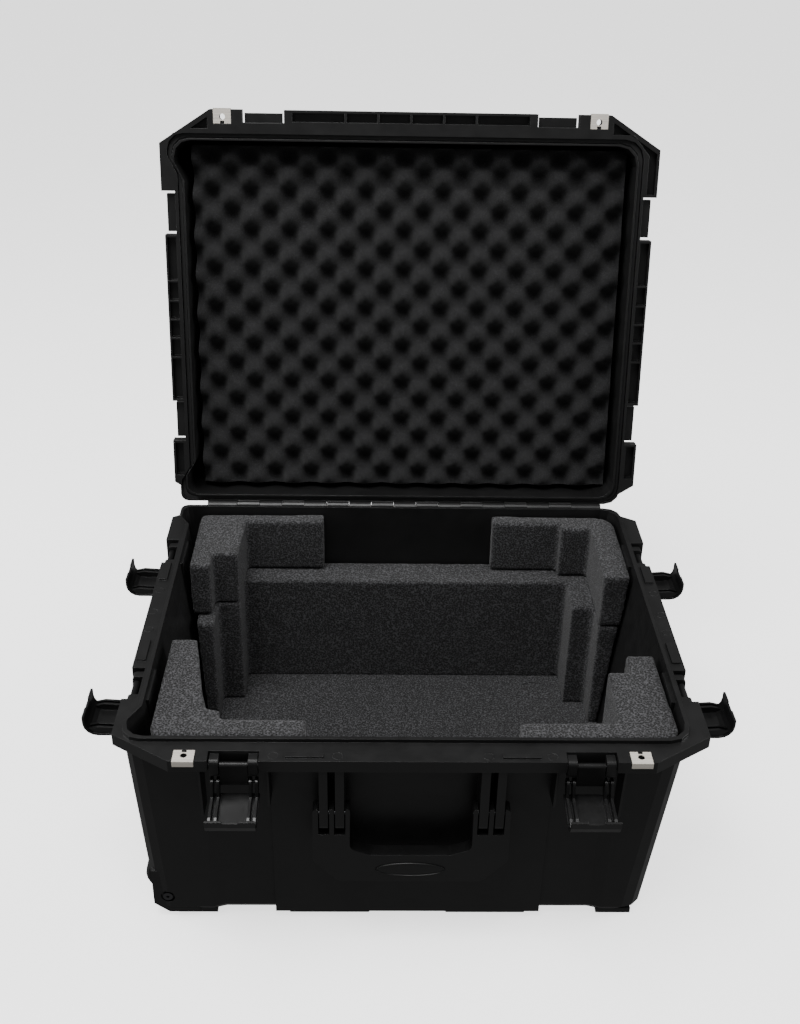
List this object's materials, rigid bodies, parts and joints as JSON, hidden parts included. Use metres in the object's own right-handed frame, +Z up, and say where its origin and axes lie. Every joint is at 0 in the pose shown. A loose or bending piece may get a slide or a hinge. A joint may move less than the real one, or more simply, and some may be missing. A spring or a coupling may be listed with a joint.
{
  "type": "wheeled hard carrying case",
  "caption": "Wheeled hard-shell carrying case with a hinged lid, toggle latches, carry and pull handles, and cut foam inserts for a drone.",
  "frame": {"origin": "on the ground, at the centre of the pad under the middle of the base", "axes": "+Z up, +X towards the pull handle's end, -Y towards the front with the carry handle; the lid's hinge runs along X at the rear"},
  "size_m": [0.7068, 0.7305, 0.7562],
  "materials": {
    "moulded_shell": "satin moulded polypropylene",
    "glass_filled_nylon": "satin moulded nylon",
    "stainless_steel": "brushed",
    "blackened_steel": "blackened",
    "anodised_aluminium": "dark anodised",
    "sintered_bronze": "plain sintered",
    "gasket_rubber": "matte",
    "polyurethane_tyre": "matte",
    "closed_cell_foam": "matte speckled cut foam",
    "convoluted_foam": "matte convoluted foam"
  },
  "bodies": {
    "base": {"base_shell": "moulded_shell", "hinge_pin": "stainless_steel", "padlock_plate_base_left": "stainless_steel", "padlock_plate_base_right": "stainless_steel", "latch_front_left_base_pin": "blackened_steel", "latch_front_right_base_pin": "blackened_steel", "latch_left_rear_base_pin": "blackened_steel", "latch_left_front_base_pin": "blackened_steel", "latch_right_rear_base_pin": "blackened_steel", "latch_right_front_base_pin": "blackened_steel", "base_foam_floor_pad": "closed_cell_foam", "base_foam_front_left": "closed_cell_foam", "base_foam_front_right": "closed_cell_foam", "base_foam_lower_front_left": "closed_cell_foam", "base_foam_lower_front_right": "closed_cell_foam", "base_foam_lower_rear": "closed_cell_foam", "base_foam_rear_left": "closed_cell_foam", "base_foam_rear_right": "closed_cell_foam", "pull_handle_guide_front": "anodised_aluminium", "pull_handle_guide_rear": "anodised_aluminium", "wheel_front_axle": "blackened_steel", "wheel_rear_axle": "blackened_steel", "front_handle_pin_left": "blackened_steel", "front_handle_pin_right": "blackened_steel"},
    "lid": {"lid_shell": "moulded_shell", "lid_gasket": "gasket_rubber", "lid_foam": "convoluted_foam", "padlock_plate_lid_left": "stainless_steel", "padlock_plate_lid_right": "stainless_steel"},
    "latch_front_left_link": {"latch_front_left_link": "glass_filled_nylon"},
    "latch_front_left_lever": {"latch_front_left_lever": "glass_filled_nylon", "latch_front_left_lever_pin": "blackened_steel"},
    "latch_front_right_link": {"latch_front_right_link": "glass_filled_nylon"},
    "latch_front_right_lever": {"latch_front_right_lever": "glass_filled_nylon", "latch_front_right_lever_pin": "blackened_steel"},
    "latch_left_rear_link": {"latch_left_rear_link": "glass_filled_nylon"},
    "latch_left_rear_lever": {"latch_left_rear_lever": "glass_filled_nylon", "latch_left_rear_lever_pin": "blackened_steel"},
    "latch_left_front_link": {"latch_left_front_link": "glass_filled_nylon"},
    "latch_left_front_lever": {"latch_left_front_lever": "glass_filled_nylon", "latch_left_front_lever_pin": "blackened_steel"},
    "latch_right_rear_link": {"latch_right_rear_link": "glass_filled_nylon"},
    "latch_right_rear_lever": {"latch_right_rear_lever": "glass_filled_nylon", "latch_right_rear_lever_pin": "blackened_steel"},
    "latch_right_front_link": {"latch_right_front_link": "glass_filled_nylon"},
    "latch_right_front_lever": {"latch_right_front_lever": "glass_filled_nylon", "latch_right_front_lever_pin": "blackened_steel"},
    "front_handle": {"front_handle": "glass_filled_nylon", "front_handle_inlay": "glass_filled_nylon"},
    "wheel_rear": {"wheel_rear_tyre": "polyurethane_tyre", "wheel_rear_hub": "glass_filled_nylon", "wheel_rear_bush": "sintered_bronze"},
    "wheel_front": {"wheel_front_tyre": "polyurethane_tyre", "wheel_front_hub": "glass_filled_nylon", "wheel_front_bush": "sintered_bronze"},
    "pull_handle": {"pull_handle_tube_front": "anodised_aluminium", "pull_handle_tube_rear": "anodised_aluminium", "pull_handle_grip": "glass_filled_nylon"},
    "pull_handle_button": {"pull_handle_button": "glass_filled_nylon"}
  },
  "joints": [
    {"name": "lid_hinge", "type": "hinge", "parent": "base", "child": "lid", "pos_m": [0, 0.25, 0.257], "axis": [1, 0, 0], "range_deg": [0, 101]},
    {"name": "latch_front_left_link_swing", "type": "hinge", "parent": "base", "child": "latch_front_left_link", "pos_m": [-0.1805, -0.25, 0.245], "axis": [-1, 0, 0], "range_deg": [0, 10]},
    {"name": "latch_front_left_lever_turn", "type": "hinge", "parent": "latch_front_left_link", "child": "latch_front_left_lever", "pos_m": [-0.1805, -0.25, 0.224], "axis": [-1, 0, 0], "range_deg": [-80, 90]},
    {"name": "latch_front_right_link_swing", "type": "hinge", "parent": "base", "child": "latch_front_right_link", "pos_m": [0.1805, -0.25, 0.245], "axis": [-1, 0, 0], "range_deg": [0, 10]},
    {"name": "latch_front_right_lever_turn", "type": "hinge", "parent": "latch_front_right_link", "child": "latch_front_right_lever", "pos_m": [0.1805, -0.25, 0.224], "axis": [-1, 0, 0], "range_deg": [-80, 90]},
    {"name": "latch_left_rear_link_swing", "type": "hinge", "parent": "base", "child": "latch_left_rear_link", "pos_m": [-0.2994, 0.1337, 0.245], "axis": [0, 1, 0], "range_deg": [0, 10]},
    {"name": "latch_left_rear_lever_turn", "type": "hinge", "parent": "latch_left_rear_link", "child": "latch_left_rear_lever", "pos_m": [-0.2994, 0.1337, 0.224], "axis": [0, 1, 0], "range_deg": [-60, 80]},
    {"name": "latch_left_front_link_swing", "type": "hinge", "parent": "base", "child": "latch_left_front_link", "pos_m": [-0.2994, -0.13335, 0.245], "axis": [0, 1, 0], "range_deg": [0, 10]},
    {"name": "latch_left_front_lever_turn", "type": "hinge", "parent": "latch_left_front_link", "child": "latch_left_front_lever", "pos_m": [-0.2994, -0.13335, 0.224], "axis": [0, 1, 0], "range_deg": [-60, 80]},
    {"name": "latch_right_rear_link_swing", "type": "hinge", "parent": "base", "child": "latch_right_rear_link", "pos_m": [0.2994, 0.1337, 0.245], "axis": [0, -1, 0], "range_deg": [0, 10]},
    {"name": "latch_right_rear_lever_turn", "type": "hinge", "parent": "latch_right_rear_link", "child": "latch_right_rear_lever", "pos_m": [0.2994, 0.1337, 0.224], "axis": [0, -1, 0], "range_deg": [-60, 80]},
    {"name": "latch_right_front_link_swing", "type": "hinge", "parent": "base", "child": "latch_right_front_link", "pos_m": [0.2994, -0.13335, 0.245], "axis": [0, -1, 0], "range_deg": [0, 10]},
    {"name": "latch_right_front_lever_turn", "type": "hinge", "parent": "latch_right_front_link", "child": "latch_right_front_lever", "pos_m": [0.2994, -0.13335, 0.224], "axis": [0, -1, 0], "range_deg": [-60, 80]},
    {"name": "front_handle_swing", "type": "hinge", "parent": "base", "child": "front_handle", "pos_m": [0, -0.25, 0.182], "axis": [-1, 0, 0], "range_deg": [0, 90]},
    {"name": "wheel_rear_spin", "type": "hinge", "parent": "base", "child": "wheel_rear", "pos_m": [-0.266, 0.1965, 0.031], "axis": [0, 1, 0], "continuous": true},
    {"name": "wheel_front_spin", "type": "hinge", "parent": "base", "child": "wheel_front", "pos_m": [-0.266, -0.1815, 0.031], "axis": [0, 1, 0], "continuous": true},
    {"name": "pull_handle_slide", "type": "slide", "parent": "base", "child": "pull_handle", "axis": [1, 0, 0], "range_m": [0, 0.38]},
    {"name": "pull_handle_button_press", "type": "slide", "parent": "pull_handle", "child": "pull_handle_button", "axis": [-1, 0, 0], "range_m": [0, 0.0025], "stiffness_N_per_m": 300}
  ]
}
